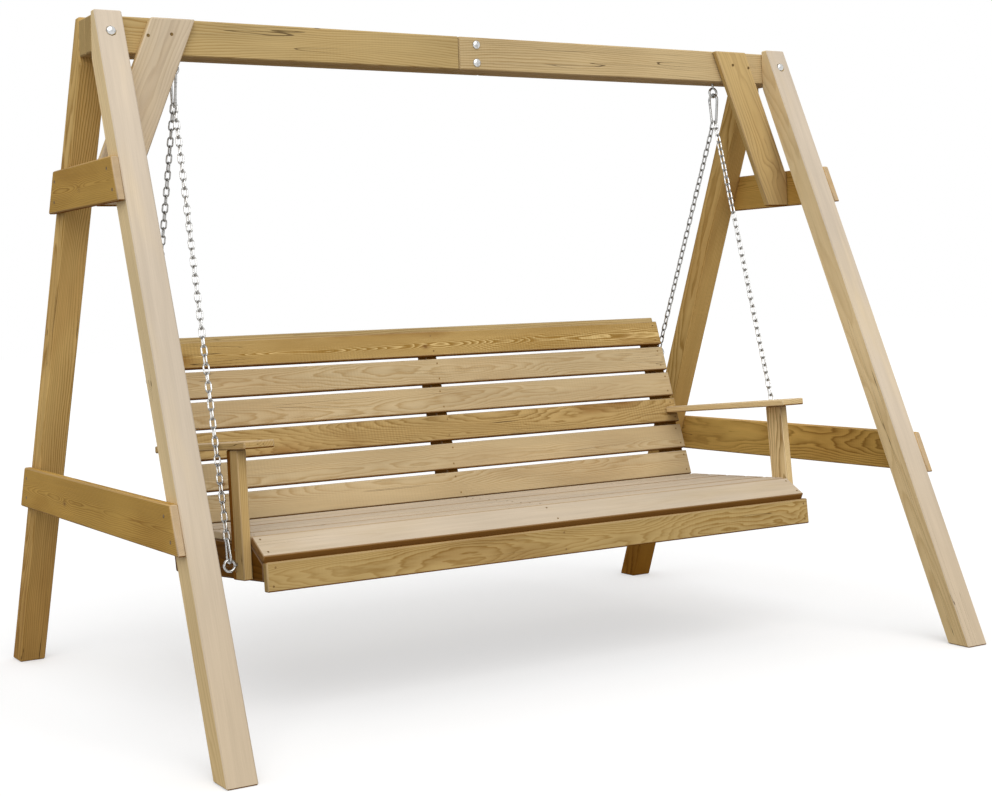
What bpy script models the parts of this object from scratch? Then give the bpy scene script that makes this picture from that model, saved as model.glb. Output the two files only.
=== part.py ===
"""A garden swing bench: a slatted seat for three that hangs on four chains from a timber frame.

Lengths are in metres and angles in degrees. X runs along the beam, the front faces -Y, Z is up,
and the ground is Z = 0 under the middle of the beam.
"""

import math

import bmesh
import bpy
from mathutils import Matrix, Vector

# Clearances and edges
touch = 0.0003
timber_arris = 0.003
slat_arris = 0.0025
overrun = 0.01
weld = 0.00003

# Facets of round pieces
round_sides = 8
bolt_sides = 12
nut_sides = 6
link_sides = 4
dome_steps = 3
link_bend_corners = 4
hook_bend_steps = 6
eye_half_steps = 8
smooth_below = 50.0

# Beam of four planks, two deep
beam_top = 1.680
plank_height = 0.091
plank_thickness = 0.0475
splice_offset = 0.055
butt_gap = 0.001

# Legs
leg_width = 0.069
leg_depth = 0.069
leg_lean = 23.13
leg_seat_margin = 0.017
leg_proud = 0.009
leg_clearance = 0.1531

# Boards that tie and brace the legs
frame_board_width = 0.107
frame_board_thickness = 0.0195
lower_tie_foot = 0.4434
upper_tie_drop = 0.4643
brace_lean = 21.3
brace_inset = 0.0375
brace_drop = 0.001

# Carriage bolts with their washers and nuts
bolt_radius = 0.005
bolt_hole_clearance = 0.0006
bolt_head_radius = 0.012
bolt_head_height = 0.005
bolt_head_skirt = 0.006
spot_face_depth = 0.007
spot_face_clearance = 0.0010
bolt_tail = 0.003
splice_bolt_rise = 0.0248
nut_radius = 0.0095
nut_height = 0.008
washer_radius = 0.0125
washer_height = 0.002

# Eyes
eye_wire = 0.007
eye_radius = 0.0132
eye_slit = 30.0
eye_neck = 0.0133
eye_shank = 0.055
eye_hole_clearance = 0.0006
front_eye_neck = 0.0015
rear_eye_neck = 0.0010

# Carabiners in the beam's eyes, wide end up
carabiner_length = 0.088
carabiner_wire = 0.008
carabiner_narrow_radius = 0.011
carabiner_wide_radius = 0.018
carabiner_nose = 0.0074

# Snap hooks in the front eyes of the seat, wide end down
snap_hook_length = 0.056
snap_hook_wire = 0.006
snap_hook_narrow_radius = 0.0068
snap_hook_wide_radius = 0.0115
snap_hook_nose = 0.0052

# Gates of both
gate_wire_share = 0.88
gate_stub = 0.002
gate_play = 0.0009

# Chain
chain_wire = 0.0045
link_pitch = 0.0221
link_side_play = 0.0006
link_bite = 0.0006
link_play = 0.0004
chain_spread_share = 0.6857

# Bench, in its own level frame: Z = 0 under the seat rails, Y = 0 under the hanging axis
bench_tilt = 4.5
bench_height = 0.3043
bench_advance = 0.0045
slat_length = 1.6272
slat_width = 0.074
slat_thickness = 0.020
back_slat_thickness = 0.018
rail_thickness = 0.037

# Seat
seat_rise = 2.0
seat_knee_reach = -0.2257
seat_knee_height = 0.1031
seat_slat_gap = 0.0105
seat_slat_count = 5
nose_slope = 33.0
nose_width = 0.080
apron_advance = 0.0125
apron_tuck = 0.0010
apron_height = 0.0685
apron_thickness = 0.022

# Back
back_lean = 13.8
back_seat_gap = 0.0125
back_foot_lift = 0.0149
back_slat_gap = 0.0091
back_slat_count = 6
cap_width = 0.055
upright_foot_depth = 0.092
upright_head_depth = 0.043

# Arms
post_thickness = 0.0234
post_depth = 0.0665
post_foot = 0.003
armrest_top = 0.3245
armrest_thickness = 0.0185
armrest_width = 0.077
armrest_chain_gap = 0.0015
armrest_overhang = 0.0648
armrest_tail_setback = 0.0269

# Eye bolts of the bench
front_eye_inset = 0.0289
front_eye_height = 0.0392
rear_eye_drop = 0.0930
eye_nut_radius = 0.0075
eye_nut_height = 0.006

# Places that follow from the sizes above
beam_foot = beam_top - plank_height
beam_middle = beam_top - plank_height / 2
beam_face = plank_thickness + touch / 2
beam_eye_height = beam_foot - eye_neck - eye_radius
hang_height = beam_eye_height - eye_radius
bench_drop = hang_height - bench_height
link_width = max(carabiner_wire, snap_hook_wire, eye_wire) + link_side_play + 2 * chain_wire
chain_spread = (carabiner_narrow_radius - carabiner_wire / 2) * chain_spread_share
slat_end = slat_length / 2
post_outer = slat_end + touch + post_thickness
post_face = seat_knee_reach
front_eye_reach = post_face + post_depth - front_eye_inset
ring_reach = eye_radius + eye_wire / 2
hang_reach = post_outer + front_eye_neck + ring_reach
rear_hang_reach = slat_end + rear_eye_neck + ring_reach
armrest_reach = hang_reach - link_width / 2 - armrest_chain_gap
armrest_foot = armrest_top - armrest_thickness
frame_face = hang_reach + leg_clearance + leg_width
leg_x = frame_face - leg_width / 2
leg_run = math.tan(math.radians(leg_lean))
leg_level_depth = leg_depth / math.cos(math.radians(leg_lean))
leg_seat_foot = beam_foot - leg_seat_margin
leg_top = beam_top + leg_proud
bolt_hole_radius = bolt_radius + bolt_hole_clearance
spot_face_radius = max(bolt_head_radius, washer_radius) + spot_face_clearance
upper_tie_foot = beam_top - upper_tie_drop
brace_reach = hang_reach - brace_inset
back_foot_height = seat_knee_height + back_foot_lift


def clear_scene():
    """Empty the file before modelling."""
    for thing in list(bpy.data.objects):
        bpy.data.objects.remove(thing, do_unlink=True)


def make_material(name, colour, roughness, metallic):
    """The plain finish of one piece."""
    material = bpy.data.materials.new(name)
    material.use_nodes = True
    shader = material.node_tree.nodes["Principled BSDF"]
    shader.inputs["Base Color"].default_value = (*colour, 1.0)
    shader.inputs["Roughness"].default_value = roughness
    shader.inputs["Metallic"].default_value = metallic
    return material


def timber(name, colour):
    """Pressure-treated softwood."""
    return make_material(name + "_pine", colour, 0.65, 0.0)


def steel(name):
    """Bright zinc-plated steel."""
    return make_material(name + "_zinc", (0.62, 0.62, 0.60), 0.32, 1.0)


def add_object(name, mesh, material=None, parent=None):
    """Put a mesh into the scene under its name."""
    thing = bpy.data.objects.new(name, mesh)
    if material:
        mesh.materials.append(material)
    bpy.context.collection.objects.link(thing)
    thing.parent = parent
    return thing


def add_empty(name, location, tilt=0.0, parent=None):
    """A point that pieces hang from or turn about."""
    empty = add_object(name, None, None, parent)
    empty.location = location
    empty.rotation_euler.x = math.radians(tilt)
    return empty


def mesh_from(name, shape):
    """Close a bmesh into a mesh with its faces pointing out."""
    bmesh.ops.recalc_face_normals(shape, faces=shape.faces)
    mesh = bpy.data.meshes.new(name)
    shape.to_mesh(mesh)
    shape.free()
    return mesh


def board_mesh(name, outline, thickness, arris):
    """A flat board: its outline in X and Y, its thickness centred on Z, every arris taken off."""
    shape = bmesh.new()
    corners = [shape.verts.new((x, y, -thickness / 2)) for x, y in outline]
    pushed = bmesh.ops.extrude_face_region(shape, geom=[shape.faces.new(corners)])
    moved = [item for item in pushed["geom"] if isinstance(item, bmesh.types.BMVert)]
    bmesh.ops.translate(shape, verts=moved, vec=(0.0, 0.0, thickness))
    bmesh.ops.bevel(
        shape, geom=list(shape.edges), offset=arris, segments=1,
        profile=0.5, affect="EDGES", material=-1,
    )
    return mesh_from(name, shape)


def rectangle(width, length):
    """A board's outline with its length along X."""
    return [
        (-length / 2, -width / 2), (length / 2, -width / 2),
        (length / 2, width / 2), (-length / 2, width / 2),
    ]


def stand_sideways(thing, x):
    """Turn a board so that its outline lies in Y and Z, and place it along X."""
    thing.rotation_euler = Matrix(((0, 0, 1), (1, 0, 0), (0, 1, 0))).to_euler()
    thing.location.x = x


def stand_facing(thing, y):
    """Turn a board so that its outline lies in X and Z, and place it along Y."""
    thing.rotation_euler = Matrix(((1, 0, 0), (0, 0, -1), (0, 1, 0))).to_euler()
    thing.location.y = y


def rod(shape, start, end, radius, sides=round_sides):
    """Add a straight round bar to a bmesh."""
    start = Vector(start)
    run = Vector(end) - start
    turn = run.to_track_quat("Z", "Y").to_matrix().to_4x4()
    bmesh.ops.create_cone(
        shape, cap_ends=True, segments=sides, radius1=radius, radius2=radius,
        depth=run.length, matrix=Matrix.Translation(start + run / 2) @ turn,
    )


def combine(thing, tool_mesh, operation):
    """Cut a hidden shape from a piece, or join it on, in the frame of the piece's parent."""
    tool = add_object(thing.name + "_" + operation.lower(), tool_mesh, None, thing.parent)
    tool.hide_render = True
    tool.display_type = "WIRE"
    modifier = thing.modifiers.new(operation.lower(), "BOOLEAN")
    modifier.operation = operation
    modifier.solver = "EXACT"
    modifier.object = tool


def drill(thing, holes):
    """Cut round holes, each (start, end, radius), through a board."""
    shape = bmesh.new()
    for start, end, radius in holes:
        rod(shape, start, end, radius)
    combine(thing, mesh_from(thing.name + "_holes", shape), "DIFFERENCE")


def turned_mesh(name, profile, origin, axis, sides):
    """A turned piece: a profile of (along, out) points, from centre line to centre line, spun round."""
    axis = Vector(axis).normalized()
    place = Matrix.Translation(origin) @ axis.to_track_quat("X", "Z").to_matrix().to_4x4()
    shape = bmesh.new()
    points = [shape.verts.new(place @ Vector((along, 0.0, out))) for along, out in profile]
    edges = [shape.edges.new(pair) for pair in zip(points, points[1:])]
    bmesh.ops.spin(
        shape, geom=points + edges, cent=origin, axis=axis, dvec=(0.0, 0.0, 0.0),
        angle=math.tau, steps=sides, use_merge=True, use_duplicate=False,
    )
    bmesh.ops.remove_doubles(shape, verts=shape.verts, dist=weld)
    return smoothed(mesh_from(name, shape))


def sweep(shape, path, normal, wire, sides, closed=False):
    """Add wire bent in the plane across a normal to a bmesh, its corners mitred."""
    ends = [path[-1], *path, path[0]]
    if not closed:
        ends = [2 * path[0] - path[1], *path, 2 * path[-1] - path[-2]]
    rings = []
    for before, point, after in zip(ends, path, ends[2:]):
        into = (point - before).normalized()
        tangent = (into + (after - point).normalized()).normalized()
        side = normal.cross(tangent) / tangent.dot(into)
        turns = [math.tau * number / sides for number in range(sides)]
        rings.append([
            shape.verts.new(point + (side * math.cos(turn) + normal * math.sin(turn)) * wire / 2)
            for turn in turns
        ])
    if closed:
        rings.append(rings[0])
    else:
        shape.faces.new(rings[0])
        shape.faces.new(rings[-1])
    for first, second in zip(rings, rings[1:]):
        for number in range(sides):
            shape.faces.new((first[number], first[number - 1], second[number - 1], second[number]))


def wire_mesh(name, path, normal, wire):
    """A piece of round wire bent along one path."""
    shape = bmesh.new()
    sweep(shape, path, Vector(normal).normalized(), wire, round_sides)
    return smoothed(mesh_from(name, shape))


def smoothed(mesh):
    """Shade a round piece smooth between its sharp edges."""
    mesh.shade_smooth()
    mesh.set_sharp_from_angle(angle=math.radians(smooth_below))
    return mesh


def bench_to_axis(y, z):
    """Where a point of the bench's level frame lies from the hanging axis, as (Y, Z)."""
    tilt = math.radians(bench_tilt)
    y = y - bench_advance
    drop = z - bench_drop
    return y * math.cos(tilt) + drop * math.sin(tilt), drop * math.cos(tilt) - y * math.sin(tilt)


def leg_outer(z):
    """How far a leg's outer face stands from the middle of the beam at a height."""
    return leg_inner(z) + leg_level_depth


def leg_inner(z):
    """How far a leg's inner face stands from the middle, below its seat on the beam."""
    return beam_face + touch + (leg_seat_foot - z) * leg_run


def build_beam():
    """Two planks side by side, each in two lengths that butt at staggered joints."""
    lengths = {
        "front_plank_left": (-frame_face, -splice_offset - butt_gap / 2, -1),
        "front_plank_right": (-splice_offset + butt_gap / 2, frame_face, -1),
        "rear_plank_left": (-frame_face, splice_offset - butt_gap / 2, 1),
        "rear_plank_right": (splice_offset + butt_gap / 2, frame_face, 1),
    }
    near, far = -beam_face - overrun, beam_face + overrun
    for name, (start, end, side) in lengths.items():
        outline = [(start, beam_foot), (end, beam_foot), (end, beam_top), (start, beam_top)]
        mesh = board_mesh(name, outline, plank_thickness, timber_arris)
        plank = add_object(name, mesh, timber(name, (0.50, 0.35, 0.17)))
        stand_facing(plank, side * (touch + plank_thickness) / 2)
        x = math.copysign(leg_x, start + end)
        holes = [((x, near, beam_middle), (x, far, beam_middle), bolt_hole_radius)]
        x = math.copysign(hang_reach, start + end)
        eye_end = beam_foot + eye_shank + touch
        holes.append(((x, 0.0, beam_foot - overrun), (x, 0.0, eye_end), eye_wire / 2 + eye_hole_clearance))
        if start < 0.0 < end:
            for z in (beam_middle - splice_bolt_rise, beam_middle + splice_bolt_rise):
                holes.append(((0.0, near, z), (0.0, far, z), bolt_hole_radius))
        drill(plank, holes)


def build_legs():
    """Four square posts that splay front and back and clamp the beam between their heads."""
    face = beam_face + touch
    outline = [
        (leg_outer(0.0), 0.0), (leg_inner(0.0), 0.0), (face, leg_seat_foot),
        (face, leg_top), (leg_outer(leg_top), leg_top),
    ]
    seat = leg_outer(beam_middle) - spot_face_depth
    far = leg_outer(beam_middle) + overrun
    for row, row_side in (("front", -1), ("rear", 1)):
        for end, end_side in (("left", -1), ("right", 1)):
            name = row + "_" + end + "_leg"
            mesh = board_mesh(name, [(y * row_side, z) for y, z in outline], leg_width, timber_arris)
            leg = add_object(name, mesh, timber(name, (0.58, 0.46, 0.29)))
            x = end_side * leg_x
            stand_sideways(leg, x)
            start = (x, row_side * (face - overrun), beam_middle)
            floor = (x, row_side * seat, beam_middle)
            end_point = (x, row_side * far, beam_middle)
            drill(leg, [(start, end_point, bolt_hole_radius)])
            drill(leg, [(floor, end_point, spot_face_radius)])


def build_ties():
    """Four boards across the legs' outer faces, their ends cut to the slope of the legs."""
    for level, foot in (("lower", lower_tie_foot), ("upper", upper_tie_foot)):
        head = foot + frame_board_width
        low, high = leg_outer(foot), leg_outer(head)
        outline = [(-low, foot), (low, foot), (high, head), (-high, head)]
        for end, end_side in (("left", -1), ("right", 1)):
            name = level + "_" + end + "_tie"
            mesh = board_mesh(name, outline, frame_board_thickness, timber_arris)
            tie = add_object(name, mesh, timber(name, (0.46, 0.31, 0.14)))
            stand_sideways(tie, end_side * (frame_face + touch + frame_board_thickness / 2))


def build_braces():
    """Two boards from the beam's front face down to the upper ties, their tails cut plumb."""
    lean = math.radians(brace_lean)
    run = math.tan(lean)
    head = beam_top - brace_drop
    outer_reach = brace_reach + frame_board_width / math.cos(lean)
    wall = frame_face - touch
    outline = [
        (brace_reach, head), (brace_reach + (head - upper_tie_foot) * run, upper_tie_foot),
        (wall, upper_tie_foot), (wall, head - (wall - outer_reach) / run), (outer_reach, head),
    ]
    for end, end_side in (("left", -1), ("right", 1)):
        name = end + "_brace"
        mesh = board_mesh(name, [(x * end_side, z) for x, z in outline], frame_board_thickness, timber_arris)
        brace = add_object(name, mesh, timber(name, (0.52, 0.40, 0.23)))
        stand_facing(brace, -beam_face - touch - frame_board_thickness / 2)


def add_bolt(name, x, seat, z, skirt):
    """A domed bolt across the beam with its washer and nut, from its head's seat to the same seat behind."""
    washer = 2 * seat + touch
    tail = washer + washer_height + nut_height + bolt_tail
    profile = [(-skirt - bolt_head_height, 0.0)]
    for step in range(1, dome_steps):
        turn = math.pi / 2 * step / dome_steps
        profile.append((-skirt - bolt_head_height * math.cos(turn), bolt_head_radius * math.sin(turn)))
    profile += [
        (-skirt, bolt_head_radius), (-touch, bolt_head_radius),
        (-touch, bolt_radius), (washer, bolt_radius), (washer, washer_radius),
        (washer + washer_height, washer_radius), (washer + washer_height, bolt_radius),
        (tail, bolt_radius), (tail, 0.0),
    ]
    mesh = turned_mesh(name, profile, (x, -seat, z), (0.0, 1.0, 0.0), bolt_sides)
    bolt = add_object(name, mesh, steel(name))
    nut = bmesh.new()
    start = seat + touch + washer_height / 2
    rod(nut, (x, start, z), (x, start + washer_height / 2 + nut_height, z), nut_radius, nut_sides)
    combine(bolt, mesh_from(name + "_nut", nut), "UNION")


def build_bolts():
    """A long bolt through each pair of leg heads, and two short ones through the splice."""
    seat = leg_outer(beam_middle) - spot_face_depth
    for end, end_side in (("left", -1), ("right", 1)):
        add_bolt(end + "_leg_bolt", end_side * leg_x, seat, beam_middle, bolt_head_skirt)
    for row, rise in (("upper", splice_bolt_rise), ("lower", -splice_bolt_rise)):
        add_bolt(row + "_splice_bolt", 0.0, beam_face, beam_middle + rise, 2 * touch)


def eye_path(centre, toward, across, shank):
    """An eye bent from one wire: a straight shank, then a ring that closes to a slit beside it."""
    centre, toward, across = Vector(centre), Vector(toward), Vector(across)
    far_sweep = math.pi - math.radians(eye_slit)
    turns = [math.pi * step / eye_half_steps for step in range(eye_half_steps + 1)]
    turns += [math.pi + far_sweep * step / (eye_half_steps - 1) for step in range(1, eye_half_steps)]
    path = [centre + toward * (eye_radius + shank)]
    for turn in turns:
        path.append(centre + (toward * math.cos(turn) + across * math.sin(turn)) * eye_radius)
    return path


def build_beam_eyes():
    """Two screw eyes in the joint between the planks, under the beam."""
    for end, end_side in (("left", -1), ("right", 1)):
        name = end + "_beam_eye"
        centre = (end_side * hang_reach, 0.0, beam_eye_height)
        path = eye_path(centre, (0, 0, 1), (end_side, 0, 0), eye_neck + eye_shank)
        add_object(name, wire_mesh(name, path, (0, 1, 0), eye_wire), steel(name))


def pear_corners(length, narrow, wide):
    """The ends of a pear outline's straight gate side, and its lean, in (across, along)."""
    lean = math.asin((wide - narrow) / (length - narrow - wide))
    low = (narrow * math.cos(lean), narrow - narrow * math.sin(lean))
    high = (wide * math.cos(lean), length - wide - wide * math.sin(lean))
    return Vector(low), Vector(high), lean


def pear_body(length, narrow, wide, nose):
    """A hook's wire as (across, along): from its gate's hinge, round both ends, to its nose."""
    low, high, lean = pear_corners(length, narrow, wide)
    run = (high - low).normalized()
    path = [low + run * gate_stub, low]
    for step in range(1, hook_bend_steps + 1):
        angle = -lean - step * (math.pi - 2 * lean) / hook_bend_steps
        path.append(Vector((narrow * math.cos(angle), narrow + narrow * math.sin(angle))))
    for step in range(hook_bend_steps + 1):
        angle = math.pi + lean - step * (math.pi + 2 * lean) / hook_bend_steps
        path.append(Vector((wide * math.cos(angle), length - wide + wide * math.sin(angle))))
    path.append(high - run * nose)
    return path


def add_hook(name, foot, along, across, sizes, parent):
    """A hook bent from wire, and the straight gate that turns inwards at its narrow end."""
    length, wire, narrow, wide, nose = sizes
    foot, along, across = Vector(foot), Vector(along), Vector(across)

    def place(point):
        return foot + across * point.x + along * point.y

    body = [place(point) for point in pear_body(length, narrow, wide, nose)]
    normal = across.cross(along)
    add_object(name, wire_mesh(name, body, normal, wire), steel(name), parent)
    low, high, lean = pear_corners(length, narrow, wide)
    run = (high - low).normalized()
    gate_wire = wire * gate_wire_share
    inward = Vector((-run.y, run.x)) * gate_wire / 2
    start = low + run * (gate_stub + touch)
    tip = high - run * (nose + gate_play)
    hinge = add_empty(name + "_hinge", place(start + inward), 0.0, parent)
    rod_path = [place(start) - hinge.location, place(tip) - hinge.location]
    gate_name = name + "_gate"
    add_object(gate_name, wire_mesh(gate_name, rod_path, normal, gate_wire), steel(gate_name), hinge)


def link_path(centre, along, across, inner_length):
    """One chain link's centre line: two straight sides, and two round ends by their corners."""
    radius = (link_width - chain_wire) / 2
    half = (inner_length + chain_wire) / 2 - radius
    corner_turn = math.pi / link_bend_corners
    reach = radius / math.cos(corner_turn / 2)
    path = []
    for end in (1, -1):
        for corner in range(link_bend_corners):
            angle = corner_turn * corner + (corner_turn - math.pi) / 2
            out = across * math.sin(angle) * reach * end
            path.append(centre + along * end * (half + math.cos(angle) * reach) + out)
    return path


def add_chain(name, top, foot, top_wire, foot_wire, spare_link, parent):
    """Links between two round bars, each turned square to the last, the joints bedded together.

    Whole pairs of links come nearest to the usual pitch. A spare link more brings the last one to
    lie as the first does.
    """
    span = (foot - top).length
    along = (foot - top) / span
    sideways = Vector((1, 0, 0)) - along * along.x
    sideways.normalize()
    reach = span + (top_wire + foot_wire) / 2 + 2 * link_play
    count = 2 * round((reach / link_pitch - spare_link) / 2) + spare_link
    inner = (reach - (count - 1) * link_bite) / count
    first = top + along * (inner / 2 - top_wire / 2 - link_play)
    upright = along.cross(sideways)
    even, odd = bmesh.new(), bmesh.new()
    for number in range(count):
        centre = first + along * number * (inner + link_bite)
        if number % 2:
            sweep(odd, link_path(centre, along, upright, inner), sideways, chain_wire, link_sides, True)
        else:
            sweep(even, link_path(centre, along, sideways, inner), upright, chain_wire, link_sides, True)
    chain = add_object(name, mesh_from(name, even), steel(name), parent)
    combine(chain, mesh_from(name + "_odd", odd), "UNION")


def build_hangings(axis):
    """On each side a carabiner in the beam's eye, two chains, and a snap hook at the seat's front eye."""
    top = (eye_wire + carabiner_wire) / 2 + touch
    foot = top - carabiner_length
    bend = carabiner_narrow_radius - math.sqrt(carabiner_narrow_radius ** 2 - chain_spread ** 2)
    front_ring = bench_to_axis(front_eye_reach, front_eye_height + eye_radius)
    rear_reach, rear_height = rear_eye_place()
    rear_ring = bench_to_axis(rear_reach, rear_height + eye_radius)
    carabiner = (
        carabiner_length, carabiner_wire, carabiner_narrow_radius, carabiner_wide_radius, carabiner_nose,
    )
    snap_hook = (
        snap_hook_length, snap_hook_wire, snap_hook_narrow_radius, snap_hook_wide_radius, snap_hook_nose,
    )
    for end, end_side in (("left", -1), ("right", 1)):
        x = end_side * hang_reach
        add_hook(end + "_carabiner", (x, 0.0, foot), (0, 0, 1), (0, end_side, 0), carabiner, axis)
        start = Vector((x, -chain_spread, foot + bend))
        ring = Vector((x, *front_ring))
        down = (ring - start).normalized()
        hook_foot = ring + down * ((eye_wire + snap_hook_wire) / 2 + touch)
        hook_head = hook_foot - down * snap_hook_length
        across = down.cross(Vector((end_side, 0, 0)))
        add_hook(end + "_snap_hook", hook_head, down, across, snap_hook, axis)
        add_chain("front_" + end + "_chain", start, hook_head, carabiner_wire, snap_hook_wire, 1, axis)
        start = Vector((x, chain_spread, foot + bend))
        ring = Vector((end_side * rear_hang_reach, *rear_ring))
        add_chain("rear_" + end + "_chain", start, ring, carabiner_wire, eye_wire, 0, axis)


def seat_slat_start():
    """How far behind the knee the first seat slat starts, clear of the front slat."""
    return slat_thickness * math.sin(math.radians(nose_slope + seat_rise)) + touch


def back_foot_reach():
    """Where the back slats start: a gap behind the last seat slat."""
    depth = seat_slat_start() + seat_slat_count * slat_width + (seat_slat_count - 1) * seat_slat_gap
    return seat_knee_reach + depth * math.cos(math.radians(seat_rise)) + back_seat_gap


def back_front(z):
    """Where the back slats' front face stands at a height of the bench."""
    return back_foot_reach() + (z - back_foot_height) * math.tan(math.radians(back_lean))


def upright_front(z):
    """Where the uprights' front face stands at a height: just behind the slats."""
    return back_front(z) + (back_slat_thickness + touch) / math.cos(math.radians(back_lean))


def upright_head():
    """The front corner of an upright's head, level with the top slat, as (Y, Z)."""
    lean = math.radians(back_lean)
    length = back_slat_count * slat_width + (back_slat_count - 1) * back_slat_gap
    z = back_foot_height + length * math.cos(lean) - (back_slat_thickness + touch) * math.sin(lean)
    return upright_front(z), z


def upright_rear(z):
    """Where the uprights' rear face stands at a height: they taper to the head."""
    head_y, head_z = upright_head()
    foot = upright_front(0.0) + upright_foot_depth
    return foot + (head_y + upright_head_depth - foot) * z / head_z


def rear_eye_place():
    """Where the rear eyes sit as (Y, Z): in the middle of the uprights, below their heads."""
    z = upright_head()[1] - rear_eye_drop
    return (upright_front(z) + upright_rear(z)) / 2, z


def seat_rise_over(y):
    """How much the seat has risen at a place behind the knee."""
    return (y - seat_knee_reach) * math.tan(math.radians(seat_rise))


def apron_corner():
    """The apron's front top corner as (Y, Z): ahead of the front slat, tucked up to its end."""
    slope = math.radians(nose_slope)
    fall = Vector((math.cos(slope), math.sin(slope))) * nose_width
    drop = (apron_thickness - apron_advance) / math.tan(slope) - apron_tuck
    return Vector((seat_knee_reach, seat_knee_height)) - fall - Vector((apron_advance, drop))


def rail_outline():
    """A seat rail's outline as (Y, Z): level foot, rising top, and a slope for the front slat."""
    knee = Vector((seat_knee_reach, seat_knee_height))
    slope = math.radians(nose_slope)
    forward = Vector((-math.cos(slope), -math.sin(slope)))
    bedding = Vector((math.sin(slope), -math.cos(slope))) * (slat_thickness + touch)
    front = apron_corner().x + apron_thickness + touch
    low = knee + bedding + forward * ((knee.x + bedding.x - front) / math.cos(slope))
    top_drop = (slat_thickness + touch) / math.cos(math.radians(seat_rise))
    rise = math.tan(math.radians(seat_rise))
    fall = math.tan(slope)
    turn = knee.x + (low.y + fall * (knee.x - low.x) - knee.y + top_drop) / (rise - fall)
    top = knee.y - top_drop + (turn - knee.x) * rise
    rear_high = knee.y - top_drop + seat_rise_over(upright_front(knee.y))
    return [
        (front, 0.0), (upright_front(0.0) - touch, 0.0),
        (upright_front(rear_high) - touch, rear_high), (turn, top), (low.x, low.y),
    ]


def drill_eye_hole(board, side, y, z, inner, outer):
    """Drill one board for an eye bolt."""
    radius = eye_wire / 2 + eye_hole_clearance
    drill(board, [((side * (inner - overrun), y, z), (side * (outer + overrun), y, z), radius)])


def build_seat(bench):
    """Three seat rails, the slats on them, the sloped front slat and the apron under it."""
    rail_x = slat_end - rail_thickness / 2
    for end, side in (("left", -1), ("middle", 0), ("right", 1)):
        name = end + "_seat_rail"
        mesh = board_mesh(name, rail_outline(), rail_thickness, timber_arris)
        rail = add_object(name, mesh, timber(name, (0.30, 0.19, 0.07)), bench)
        stand_sideways(rail, side * rail_x)
        if side:
            inner = slat_end - rail_thickness
            drill_eye_hole(rail, side, front_eye_reach, front_eye_height, inner, slat_end)
    rise = math.radians(seat_rise)
    knee = Vector((seat_knee_reach, seat_knee_height))
    backward = Vector((math.cos(rise), math.sin(rise)))
    under = Vector((math.sin(rise), -math.cos(rise))) * slat_thickness / 2
    for number in range(seat_slat_count):
        name = "seat_slat_" + str(number + 1)
        mesh = board_mesh(name, rectangle(slat_width, slat_length), slat_thickness, slat_arris)
        slat = add_object(name, mesh, timber(name, (0.56, 0.44, 0.27)), bench)
        distance = seat_slat_start() + slat_width / 2 + number * (slat_width + seat_slat_gap)
        middle = knee + backward * distance + under
        slat.location = (0.0, middle.x, middle.y)
        slat.rotation_euler.x = rise
    slope = math.radians(nose_slope)
    middle = knee + Vector((-math.cos(slope), -math.sin(slope))) * nose_width / 2
    middle = middle + Vector((math.sin(slope), -math.cos(slope))) * slat_thickness / 2
    mesh = board_mesh("front_seat_slat", rectangle(nose_width, slat_length), slat_thickness, slat_arris)
    nose = add_object("front_seat_slat", mesh, timber("front_seat_slat", (0.60, 0.50, 0.34)), bench)
    nose.location = (0.0, middle.x, middle.y)
    nose.rotation_euler.x = slope
    mesh = board_mesh("apron", rectangle(apron_height, slat_length), apron_thickness, slat_arris)
    apron = add_object("apron", mesh, timber("apron", (0.50, 0.36, 0.17)), bench)
    corner = apron_corner()
    apron.location = (0.0, corner.x + apron_thickness / 2, corner.y - apron_height / 2)
    apron.rotation_euler.x = math.radians(90)


def build_back(bench):
    """Three tapered uprights, six slats on their fronts and a cap board on their heads."""
    lean = math.radians(back_lean)
    head_y, head_z = upright_head()
    head_rear = head_y + upright_head_depth
    outline = [
        (upright_front(0.0), 0.0), (upright_rear(0.0), 0.0),
        (head_rear, head_z - upright_head_depth * math.tan(lean)), (head_y, head_z),
    ]
    upright_x = slat_end - rail_thickness / 2
    eye_y, eye_z = rear_eye_place()
    for end, side in (("left", -1), ("middle", 0), ("right", 1)):
        name = end + "_upright"
        mesh = board_mesh(name, outline, rail_thickness, timber_arris)
        upright = add_object(name, mesh, timber(name, (0.38, 0.25, 0.10)), bench)
        stand_sideways(upright, side * upright_x)
        if side:
            drill_eye_hole(upright, side, eye_y, eye_z, slat_end - rail_thickness, slat_end)
    up = Vector((math.sin(lean), math.cos(lean)))
    backward = Vector((math.cos(lean), -math.sin(lean)))
    foot = Vector((back_foot_reach(), back_foot_height)) + backward * back_slat_thickness / 2
    for number in range(back_slat_count):
        name = "back_slat_" + str(back_slat_count - number)
        mesh = board_mesh(name, rectangle(slat_width, slat_length), back_slat_thickness, slat_arris)
        slat = add_object(name, mesh, timber(name, (0.54, 0.40, 0.22)), bench)
        middle = foot + up * (slat_width / 2 + number * (slat_width + back_slat_gap))
        slat.location = (0.0, middle.x, middle.y)
        slat.rotation_euler.x = math.radians(90) - lean
    middle = Vector((head_y, head_z)) + backward * cap_width / 2 + up * (touch + back_slat_thickness / 2)
    mesh = board_mesh("back_cap", rectangle(cap_width, slat_length), back_slat_thickness, slat_arris)
    cap = add_object("back_cap", mesh, timber("back_cap", (0.48, 0.36, 0.18)), bench)
    cap.location = (0.0, middle.x, middle.y)
    cap.rotation_euler.x = -lean


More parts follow.
